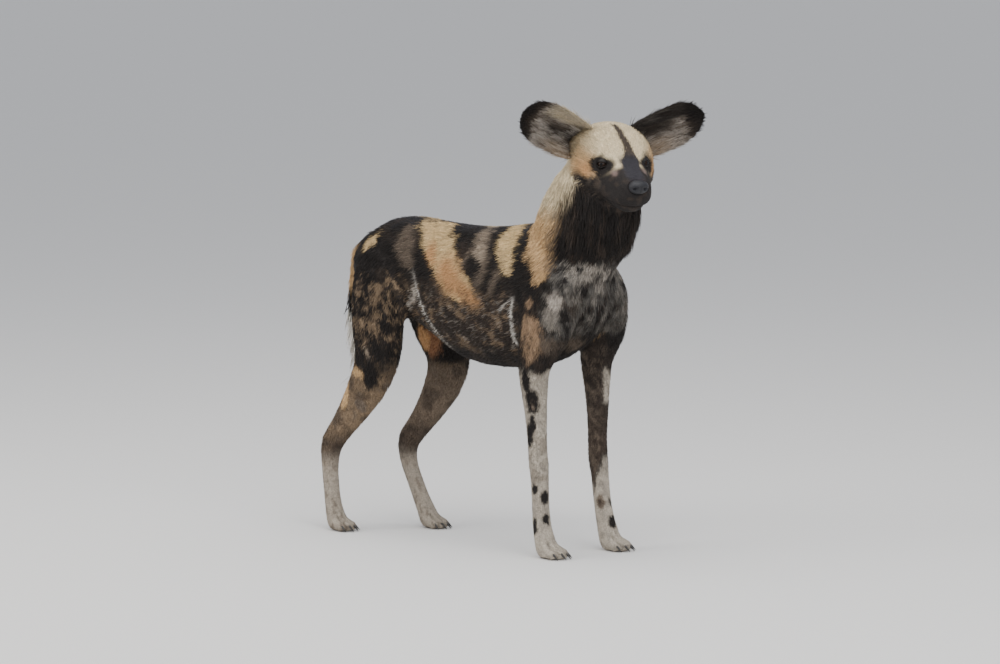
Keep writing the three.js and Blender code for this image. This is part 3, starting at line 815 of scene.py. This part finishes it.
def growTufts(name, roots, normals, lies, size, colour, unwrap, rows, droop=0.0):
    form = tuftPlan
    lengths, widths, lifts = (value[:, None] for value in size)
    across = unit(np.cross(lies, normals))
    steps = np.linspace(0, 1, rows + 1)[:-1]
    rings = []
    shadedTones = []
    wraps = []
    for t in list(steps) + [1.0]:
        centre = roots - normals * form["sunk"] * (1 - t)
        centre = centre + lies * lengths * t * np.cos(lifts)
        centre = centre + normals * lengths * np.sin(lifts) * (t - form["bend"] * t * t)
        centre[:, 2] -= droop * lengths[:, 0] * t * t
        # each tuft is darker at its root, painted shade deep in the coat, and lighter toward its tip,
        # partly paler hair tips and partly painted highlight
        tone = colour * (form["paintedRootShade"] + form["tipLightAndHighlight"] * t)
        if t == 1.0:
            rings.append(centre[:, None])
            shadedTones.append(tone[:, None])
            wraps.append((unwrap + [0, form["patch"]])[:, None])
            continue
        half = widths * (form["waist"] if t > 0 else form["foot"]) * (1 - form["taper"] * t)
        keel = centre + normals * half * form["keel"]
        rings.append(np.stack([centre - across * half, centre + across * half, keel], 1))
        shadedTones.append(np.repeat(tone[:, None], 3, axis=1))
        spread = form["patch"] * (np.array([[-1, 0], [1, 0], [0, 0.2]]) + [0, 2 * t - 1])
        wraps.append(unwrap[:, None] + spread[None])
    verts = np.concatenate(rings, axis=1)
    verts[:, :, 2] = np.maximum(verts[:, :, 2], form["lowest"])
    perTuft = verts.shape[1]
    faces = [[0, 2, 1]]
    for r in range(rows - 1):
        for i in range(3):
            a = 3 * r + i
            b = 3 * r + (i + 1) % 3
            faces += [[a, b, b + 3], [a, b + 3, a + 3]]
    for i in range(3):
        faces.append([3 * (rows - 1) + i, 3 * (rows - 1) + (i + 1) % 3, perTuft - 1])
    faces = np.array(faces)
    count = len(roots)
    loops = (np.arange(count)[:, None, None] * perTuft + faces[None]).reshape(-1)
    mesh = bpy.data.meshes.new(name)
    mesh.vertices.add(count * perTuft)
    mesh.vertices.foreach_set("co", verts.reshape(-1))
    mesh.loops.add(len(loops))
    mesh.loops.foreach_set("vertex_index", loops)
    mesh.polygons.add(len(loops) // 3)
    mesh.polygons.foreach_set("loop_start", np.arange(0, len(loops), 3))
    mesh.polygons.foreach_set("use_smooth", np.ones(len(loops) // 3, dtype=bool))
    mesh.update(calc_edges=True)
    painted(mesh, np.clip(np.concatenate(shadedTones, axis=1).reshape(-1, 3), 0, 1))
    layer = mesh.uv_layers.new(name="OFBake")
    wrapped = np.clip(np.concatenate(wraps, axis=1).reshape(-1, 2), 0, 1)
    layer.data.foreach_set("uv", wrapped[loops].ravel())
    mesh.materials.append(furMaterial)
    addObject(name, mesh)


def scatter(triangles, places, weights, count, rng):
    corners = places[triangles]
    twice = np.cross(corners[:, 1] - corners[:, 0], corners[:, 2] - corners[:, 0])
    area = np.linalg.norm(twice, axis=1) / 2
    share = area * weights[triangles].mean(axis=1)
    total = share.sum()
    if count is None:
        count = int(total)
    picked = rng.choice(len(triangles), size=count, p=share / total)
    spread = rng.random((count, 2))
    over = spread.sum(axis=1) > 1
    spread[over] = 1 - spread[over]
    weight = np.column_stack([1 - spread.sum(axis=1), spread])
    return picked, weight


def blended(values, triangles, picked, weight):
    chosen = values[triangles[picked]]
    if values.ndim == 1:
        return np.sum(chosen * weight, axis=1)
    return np.sum(chosen * weight[:, :, None], axis=1)


def aroundAxis(points, axis, origin):
    # unwraps a part round its long axis, into the unit square
    along = points @ np.array(axis)
    side = np.cross(axis, (0.0, 1.0, 0.0)) if abs(axis[1]) < 0.9 else np.array((0.0, 0.0, 1.0))
    side = side / np.linalg.norm(side)
    other = np.cross(axis, side)
    rel = points - origin
    turn = np.arctan2(rel @ other, rel @ side) / (2 * math.pi) + 0.5
    low, high = along.min(), along.max()
    return np.column_stack([0.003 + 0.994 * turn, 0.003 + 0.994 * (along - low) / max(high - low, 1e-6)])


coatParts = {
    "torso": (["torso"], (1.0, 0.0, 0.0)),
    "neck": (["neck"], (0.45, 0.0, 0.89)),
    "head": (["head"], (0.85, -0.43, -0.3)),
    "tail": (["tail_base", "tail_brush"], (-0.2, 0.0, -0.98)),
}
for leg in legNames:
    limbName = leg.split("_")[0] + leg.split("_")[1].capitalize()
    coatParts[limbName] = ([f"{leg}_{part}" for part in ("upper", "lower", "foot")], (0.0, 0.0, 1.0))
rng = np.random.default_rng(11)
mostFaces = 185000       # of one piece of coat
densities = averaged(kinds[:, 3] * 1e4, edges, 10)      # tufts per square metre
densities[onFace & (faceAt[:, 0] > 96)] *= 0.6
for partName, (nodes, axis) in coatParts.items():
    inPart = np.isin(region, nodes)
    own = triangles[inPart[triangles].sum(axis=1) >= 2]
    picked, weight = scatter(own, places, densities, None, rng)
    roots = blended(places, own, picked, weight)
    size = blended(values, own, picked, weight)
    rootNormals = unit(blended(growNormals, own, picked, weight))
    rootLies = alongSurface(unit(blended(lie, own, picked, weight)), rootNormals)
    sway = rng.normal(0, 0.16, len(roots))[:, None]
    rootLies = unit(rootLies + np.cross(rootNormals, rootLies) * sway)
    keep = np.ones(len(roots), dtype=bool)
    if partName == "head":
        h = toHead(roots)
        keep &= ~((h[:, 0] > 101) & (np.abs(h[:, 1]) < 20) & (h[:, 2] > -30))
        for side in sides:
            eyeGap = np.linalg.norm(roots - np.array(middle(f"eye_{side}")), axis=1)
            keep &= eyeGap > 0.0155
        keep &= np.abs(h[:, 2] - mouthHeight(h[:, 0])) + 99 * (h[:, 0] < 28) > 1.2
    keep &= roots[:, 2] > 0.006
    if partName == "tail":
        keep &= rootNormals[:, 2] > -0.8
    roots, size, rootNormals, rootLies = roots[keep], size[keep], rootNormals[keep], rootLies[keep]
    lengths = size[:, 1] / 1000 * rng.uniform(0.75, 1.2, len(roots))
    shownAt = roots + rootLies * (0.5 * lengths[:, None]) + rng.normal(0, 0.0018, roots.shape)
    names = region[own[picked[keep], 0]]
    colour = markings(shownAt, names) * rng.normal(1.0, 0.09, len(roots))[:, None]
    widths = size[:, 2] / 1000 * rng.uniform(0.8, 1.2, len(roots))
    lifts = size[:, 4] + rng.normal(0, 0.06, len(roots))
    unwrap = aroundAxis(roots, axis, roots.mean(axis=0))
    rows = {"neck": 3, "tail": 4}.get(partName, 2)
    facesEach = 6 * rows - 2
    pieces = math.ceil(len(roots) * facesEach / mostFaces)
    order = rng.permutation(len(roots))
    for k in range(pieces):
        chosen = order[k::pieces]
        growTufts(f"coat_{partName}_{k + 1}", roots[chosen], rootNormals[chosen], rootLies[chosen],
                  (lengths[chosen], widths[chosen], lifts[chosen]), colour[chosen], unwrap[chosen], rows,
                  droop=0.12 if partName == "neck" else 0.0)
    print("coat on", partName, len(roots), "tufts in", pieces)

# Ears: the cupped leaves of the frame, rounded, dark at the rim, with a fringe of pale hair inside.
# the points are in the head's millimetres, for the left ear; the lengths of hair are in metres
earPlan = {"root": (-46, 58, 13), "tip": (-58, 190, 76), "sinkTo": (-46, 30, 0), "sink": 0.010,
               "back": 2800, "fringe": 3200, "width": 0.0014, "reach": 0.16}
earLight = {"right": 0.8, "left": 0.5}
# by ear: the shade of its upper edge, where that begins above the midline, and where it ends toward the tip
earEdge = {"right": ("cream", 16, 0.5), "left": ("black", -2, 2.0)}


def earMarkings(points, side, inside):
    s = sides[side]
    h = toHead(points)
    reach = np.linalg.norm(h - np.array(earPlan["root"]) * [1, s, 1], axis=1) / 150
    tip = soft(reach + 0.12 * noiseAt(h, 16, 40 + s), 0.74, 0.92)
    colour = np.tile(shades["brown"] * 0.75, (len(points), 1))
    lay = layersOn(colour)
    upper = h[:, 2] - 13 - 0.42 * (np.abs(h[:, 1]) - 58)          # above the ear's own midline
    streak = noiseAt(h * [1, 0.25, 1], 6, 41 + s)
    lay("mottle", 0.8 * inside * below(reach, 0.6, 0.85))
    light = soft(streak, -0.3, 0.4) * below(reach, 0.6, 0.8)
    lay("pale", earLight[side] * inside * light)
    # the hollow near the ear's base is darkened: dark skin of the cup, and painted shade in its hollow
    cupSkinAndShade = hump(upper, -2, 15) * soft(reach, 0.05, 0.2) * below(reach, 0.42, 0.68)
    lay("black", 0.75 * inside * cupSkinAndShade)
    shade, start, end = earEdge[side]
    edge = soft(upper + 5 * streak, start, start + 16)
    lay(shade, 0.85 * edge * below(reach, end, end + 0.25))
    lay("tan", 0.35 * inside * soft(-upper, 18, 34) * below(reach, 0.3, 0.6))
    lay("black", tip)
    return colour


headTree, _ = faceTree(["head"])
for side, s in sides.items():
    node = f"ear_{side}"
    bm = bmesh.new()
    bm.from_mesh(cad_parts[node].data)
    bmesh.ops.remove_doubles(bm, verts=bm.verts, dist=1e-5)
    bmesh.ops.smooth_vert(bm, verts=bm.verts, factor=0.25, **allAxes)
    finer = [("SUBSURF", {"levels": 2, "render_levels": 2})]
    earMesh = applied(meshFrom(bm, node), f"ear_{side}_skin", finer)
    earMesh.polygons.foreach_set("use_smooth", [True] * len(earMesh.polygons))
    earPlaces, earNormals, earTriangles, earEdges = meshArrays(earMesh)
    near = np.array([headTree.find(p)[2] for p in earPlaces])
    sink = earPlan["sink"] * below(near, 0.004, 0.014)[:, None]
    root, tip, deep = (np.array(onHead(a, b * s, c)) for a, b, c in
                       (earPlan[key] for key in ("root", "tip", "sinkTo")))
    earPlaces = earPlaces + unit(deep - earPlaces) * sink
    earMesh.vertices.foreach_set("co", earPlaces.ravel())
    earMesh.update()
    earPlaces, earNormals, earTriangles, earEdges = meshArrays(earMesh)
    forward = np.array(headMatrix.to_3x3() @ Vector((1, 0, 0)))
    facing = averaged(earNormals @ forward, earEdges, 2)
    inside = soft(facing, -0.1, 0.2)
    painted(earMesh, earMarkings(earPlaces, side, inside))
    earMesh.materials.append(skinMaterial)
    addObject(f"earSkin_{side}", earMesh, [node])
    earLie = alongSurface(unit((earPlaces - root) + 0.4 * (tip - root)), earNormals)
    hairs = [(kind, *scatter(earTriangles, earPlaces, shares, earPlan[kind], rng))
             for kind, shares in (("back", 1.0 - 0.75 * inside), ("fringe", inside))]
    for kind, chosen, share in hairs:
        roots = blended(earPlaces, earTriangles, chosen, share)
        rootNormals = unit(blended(earNormals, earTriangles, chosen, share))
        rootLies = unit(blended(earLie, earTriangles, chosen, share))
        count = len(roots)
        reach = np.linalg.norm(roots - root, axis=1) / earPlan["reach"]
        if kind == "back":
            lengths = rng.uniform(0.006, 0.010, count)
            lifts = np.full(count, 0.2)
            colour = earMarkings(roots, side, np.zeros(count))
        else:
            lengths = rng.uniform(0.013, 0.034, count) * (1.3 - 1.05 * np.clip(reach, 0, 1))
            lifts = rng.uniform(0.15, 0.45, count)
            colour = earMarkings(roots, side, np.ones(count))
            light = 0.6 * rng.random(count) * below(reach, 0.55, 0.85)
            layersOn(colour)("pale", light * soft(colour.mean(axis=1), 0.03, 0.12))
        size = (lengths, np.full(count, earPlan["width"]), lifts)
        colour = colour * rng.normal(1.0, 0.12, count)[:, None]
        growTufts(f"coat_ear_{side}_{kind}", roots, rootNormals, rootLies, size, colour,
                  aroundAxis(roots, (0.0, float(s), 0.3), roots.mean(axis=0)), 2)
print("ears done")

# Eyes: round balls with a dark amber iris, and lids that wrap them.
eyePlan = {"radius": 0.0105, "facing": (0.74, 0.62, 0.2), "corneaRise": 0.0012}
eyeMaterial, shader = newMaterial("eyeball", **{"Roughness": 0.06, "Specular IOR Level": 0.16})
irisRamp = addNode(shader, "ValToRGB")
# angle from the middle of the pupil in radians, and colour
irisStops = [(0.0, 0.003, 0.002, 0.002), (0.28, 0.003, 0.002, 0.002), (0.34, 0.022, 0.011, 0.006),
             (0.66, 0.016, 0.008, 0.005), (0.78, 0.004, 0.003, 0.002), (1.0, 0.03, 0.02, 0.018)]
ends = irisRamp.color_ramp.elements
for number, (angle, *colour) in enumerate(irisStops):
    stop = ends[number] if number < 2 else ends.new(angle)
    stop.position = angle
    stop.color = (*colour, 1)
join(addNode(shader, "Attribute", attribute_name="fromPupil"), "Fac", irisRamp, "Fac")
join(irisRamp, "Color", shader, "Base Color")


def eyeAxes(s):
    ahead = Vector(eyePlan["facing"]).normalized()
    ahead.y *= s
    ahead = headMatrix.to_3x3() @ ahead
    level = Vector((0, 0, 1)).cross(ahead).normalized()
    return ahead, level, ahead.cross(level)


# the angles of the lids' opening, corners and rear edge in radians, their lift and thickness in metres
lidPlan = {"openUp": 0.46, "openDown": 0.40, "corner": 1.12, "back": 1.35, "lift": 0.0012,
           "thick": 0.0011}
for side, s in sides.items():
    centre = middle(f"eye_{side}")
    ahead, level, upward = eyeAxes(s)
    turn = Matrix((level, upward, ahead)).transposed().to_4x4()
    bm = bmesh.new()
    bmesh.ops.create_uvsphere(bm, u_segments=40, v_segments=28, radius=eyePlan["radius"])
    for vert in bm.verts:
        vert.co.z += eyePlan["corneaRise"] * max(0.0, vert.co.z / eyePlan["radius"]) ** 8
    angles = [math.acos(max(-1.0, min(1.0, v.co.normalized().z))) for v in bm.verts]
    bmesh.ops.transform(bm, matrix=Matrix.Translation(centre) @ turn, verts=bm.verts)
    mesh = meshFrom(bm, f"eye_{side}")
    mesh.attributes.new("fromPupil", "FLOAT", "POINT").data.foreach_set("value", angles)
    mesh.materials.append(eyeMaterial)
    addObject(f"eyeball_{side}", mesh, [f"eye_{side}"])
    for lid, sign in (("upper", 1), ("lower", -1)):
        bm = bmesh.new()
        bmesh.ops.create_grid(bm, x_segments=24, y_segments=8, size=1.0)
        opening = lidPlan["openUp"] if sign > 0 else lidPlan["openDown"]
        for vert in bm.verts:
            span, rise = vert.co.x, (vert.co.y + 1) / 2
            edge = opening * (1 - span * span) ** 0.75
            tilt = edge + rise * (lidPlan["back"] - edge)
            swing = span * lidPlan["corner"]
            reach = eyePlan["radius"] + lidPlan["lift"] * (1 - 0.3 * rise)
            vert.co = Vector((math.sin(swing) * math.cos(tilt), sign * math.sin(tilt),
                              math.cos(swing) * math.cos(tilt))) * reach
        bmesh.ops.solidify(bm, geom=bm.faces[:], thickness=-lidPlan["thick"])
        bmesh.ops.transform(bm, matrix=Matrix.Translation(centre) @ turn, verts=bm.verts)
        bmesh.ops.recalc_face_normals(bm, faces=bm.faces)
        mesh = meshFrom(bm, f"lid_{side}_{lid}")
        painted(mesh, np.tile(shades["black"] * 0.7, (len(mesh.vertices), 1)))
        mesh.materials.append(lidMaterial)
        addObject(f"lid_{side}_{lid}", mesh)
print("eyes and lids done")

# Nose: a flattened pad with a groove down its middle and two comma-shaped nostrils.
nosePlan = {"centre": (108, 0, -13), "half": (14.5, 20.5, 15.5), "nostril": (118, 10.2, -14),
                "hole": 8, "slit": 3.5, "groove": 1.8}
bm = bmesh.new()
bmesh.ops.create_icosphere(bm, subdivisions=5, radius=1.0)
nostrilAt = Vector(nosePlan["nostril"])
for vert in bm.verts:
    p = vert.co.copy()
    spot = Vector([c * h for c, h in zip(p, nosePlan["half"])])
    spot.z += 2.0 * max(0.0, p.x) * (1 - abs(p.y)) - 3.0 * max(0.0, p.z) ** 2
    spot += Vector(nosePlan["centre"])
    aside = abs(spot.y) - nostrilAt.y
    rise = spot.z - nostrilAt.z
    hole = math.exp(-(aside / 4.2) ** 2 - ((rise + 0.35 * aside) / 3.4) ** 2)
    slit = math.exp(-((aside - 6) / 5.5) ** 2 - ((rise - 1) / 1.5) ** 2)
    groove = math.exp(-(spot.y / 1.1) ** 2) * (1 if spot.z < -8 else 0.3)
    dent = nosePlan["hole"] * hole + nosePlan["slit"] * slit + nosePlan["groove"] * groove
    spot.x -= dent * max(0.0, p.x)
    vert.co = spot / 1000
bmesh.ops.transform(bm, matrix=headMatrix, verts=bm.verts)
noseMesh = meshFrom(bm, "nosePad")
noseMesh.materials.append(noseMaterial)
addObject("nosePad", noseMesh, ["nose"])

# Claws: four on each paw, curved down and blunt.
clawPlan = {"length": 0.019, "root": 0.0034, "tip": 0.0007, "bow": 12, "inner": 49, "outer": 39,
            "height": 9.5, "droop": 22, "spread": 0.1}
for leg, (x, y) in pawPlaces.items():
    scale = pawScales[leg[:4]]
    bm = bmesh.new()
    for toe in (-1.5, -0.5, 0.5, 1.5):
        ahead = clawPlan["inner" if abs(toe) < 1 else "outer"]
        length = clawPlan["length"] * scale
        bmesh.ops.create_cone(bm, cap_ends=True, segments=12, radius1=clawPlan["root"] * scale,
                              radius2=clawPlan["tip"], depth=length)
        long = [e for e in bm.edges if not e.verts[0].tag and abs(e.verts[0].co.z - e.verts[1].co.z) > 0.01]
        bmesh.ops.subdivide_edges(bm, edges=long, cuts=4)
        own = [v for v in bm.verts if not v.tag]
        for vert in own:
            vert.co.x -= clawPlan["bow"] * (vert.co.z + clawPlan["length"] / 2) ** 2
            vert.tag = True
        place = at(x + ahead * scale, y + toe * toeGap * scale, clawPlan["height"] * scale)
        droop = math.radians(90 + clawPlan["droop"])
        turns = [(toe * clawPlan["spread"], "Z"), (droop, "Y"), (math.pi, "Z")]
        bend = Matrix.Translation(place)
        for angle, axis in turns:
            bend = bend @ Matrix.Rotation(angle, 4, axis)
        bmesh.ops.transform(bm, matrix=bend, verts=own)
    clawMesh = meshFrom(bm, f"claws_{leg}")
    clawMesh.materials.append(clawMaterial)
    addObject(f"claws_{leg}", clawMesh)
print("nose and claws done")

# Floor, camera and soft light.
floorMaterial, shader = newMaterial("floorPaper", **{"Base Color": (0.74, 0.73, 0.71, 1), "Roughness": 0.9})
bm = bmesh.new()
bmesh.ops.create_grid(bm, x_segments=1, y_segments=1, size=90.0)
floorMesh = meshFrom(bm, "floor")
floorMesh.materials.append(floorMaterial)
floor = bpy.data.objects.new("floor", floorMesh)
bpy.context.scene.collection.objects.link(floor)

# the aim lies beside and above the near paw, in metres across the picture
cameraPlan = {"azimuth": 40, "elevation": 9, "distance": 9.0, "nearPaw": (215, -75, 0),
                  "aside": -0.088, "above": 0.45, "sensor": 36, "lens": 162}
turn = math.radians(cameraPlan["azimuth"])
tilt = math.radians(cameraPlan["elevation"])
backward = Vector((math.sin(turn) * math.cos(tilt), -math.cos(turn) * math.cos(tilt), math.sin(tilt)))
rightward = Vector((math.cos(turn), math.sin(turn), 0))
seen = at(*cameraPlan["nearPaw"])
aim = seen + rightward * cameraPlan["aside"] + backward.cross(rightward) * cameraPlan["above"]
cameraData = bpy.data.cameras.new("camera")
cameraData.sensor_width = cameraPlan["sensor"]
cameraData.lens = cameraPlan["lens"]
cameraData.clip_end = 300
camera = bpy.data.objects.new("camera", cameraData)
camera.location = seen + backward * cameraPlan["distance"]
camera.rotation_euler = (aim - camera.location).to_track_quat("-Z", "Y").to_euler()
bpy.context.scene.collection.objects.link(camera)
bpy.context.scene.camera = camera

world = bpy.data.worlds.new("sky")
world.use_nodes = True
world.node_tree.nodes["Background"].inputs["Color"].default_value = (0.90, 0.93, 1.0, 1)
world.node_tree.nodes["Background"].inputs["Strength"].default_value = 0.75
bpy.context.scene.world = world
lamps = [("skyLamp", (0.6, -1.0, 4.2), 4.5, 190, (1.0, 0.98, 0.95)),
         ("sideLamp", (-2.6, -3.6, 2.2), 2.6, 85, (1.0, 0.97, 0.93)),
         ("fillLamp", (4.0, -1.6, 1.8), 2.6, 60, (0.97, 0.98, 1.0))]
for name, place, size, power, colour in lamps:
    light = bpy.data.lights.new(name, "AREA")
    light.size = size
    light.energy = power
    light.color = colour
    lamp = bpy.data.objects.new(name, light)
    lamp.location = place
    lamp.rotation_euler = (Vector((0, 0, 0.45)) - Vector(place)).to_track_quat("-Z", "Y").to_euler()
    bpy.context.scene.collection.objects.link(lamp)
